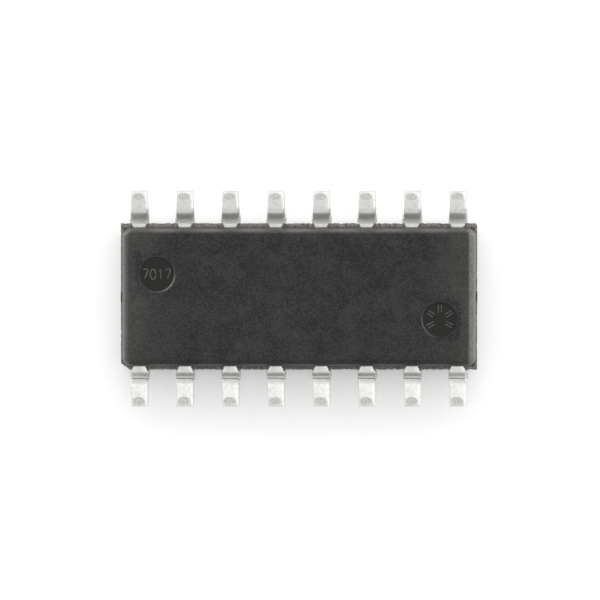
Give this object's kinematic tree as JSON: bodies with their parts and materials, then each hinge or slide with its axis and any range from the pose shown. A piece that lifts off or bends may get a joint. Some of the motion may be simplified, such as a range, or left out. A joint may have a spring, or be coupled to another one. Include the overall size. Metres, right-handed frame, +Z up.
{
  "type": "small-outline surface-mount chip",
  "caption": "Moulded small-outline chip package with two rows of gull-wing leads, lying on its marked face with the feet up.",
  "frame": {"origin": "centre of the marked face, which the package lies on", "axes": "+X along the package, +Y across it towards the row of leads 1 to 8, +Z up through the package towards the feet"},
  "size_m": [0.01, 0.006, 0.0016],
  "materials": {
    "moulding": "matte",
    "lead_plating": "satin",
    "die_pad": "satin",
    "die_attach": "satin",
    "die": "gloss",
    "bond_wire": "polished"
  },
  "bodies": {
    "root": {"moulding": "moulding", "lead_01": "lead_plating", "lead_02": "lead_plating", "lead_03": "lead_plating", "lead_04": "lead_plating", "lead_05": "lead_plating", "lead_06": "lead_plating", "lead_07": "lead_plating", "lead_08": "lead_plating", "lead_09": "lead_plating", "lead_10": "lead_plating", "lead_11": "lead_plating", "lead_12": "lead_plating", "lead_13": "lead_plating", "lead_14": "lead_plating", "lead_15": "lead_plating", "lead_16": "lead_plating", "die_pad": "die_pad", "die_attach": "die_attach", "die": "die", "bond_wire_01": "bond_wire", "bond_wire_02": "bond_wire", "bond_wire_03": "bond_wire", "bond_wire_04": "bond_wire", "bond_wire_05": "bond_wire", "bond_wire_06": "bond_wire", "bond_wire_07": "bond_wire", "bond_wire_08": "bond_wire", "bond_wire_09": "bond_wire", "bond_wire_10": "bond_wire", "bond_wire_11": "bond_wire", "bond_wire_12": "bond_wire", "bond_wire_13": "bond_wire", "bond_wire_14": "bond_wire", "bond_wire_15": "bond_wire", "bond_wire_16": "bond_wire"}
  },
  "joints": []
}
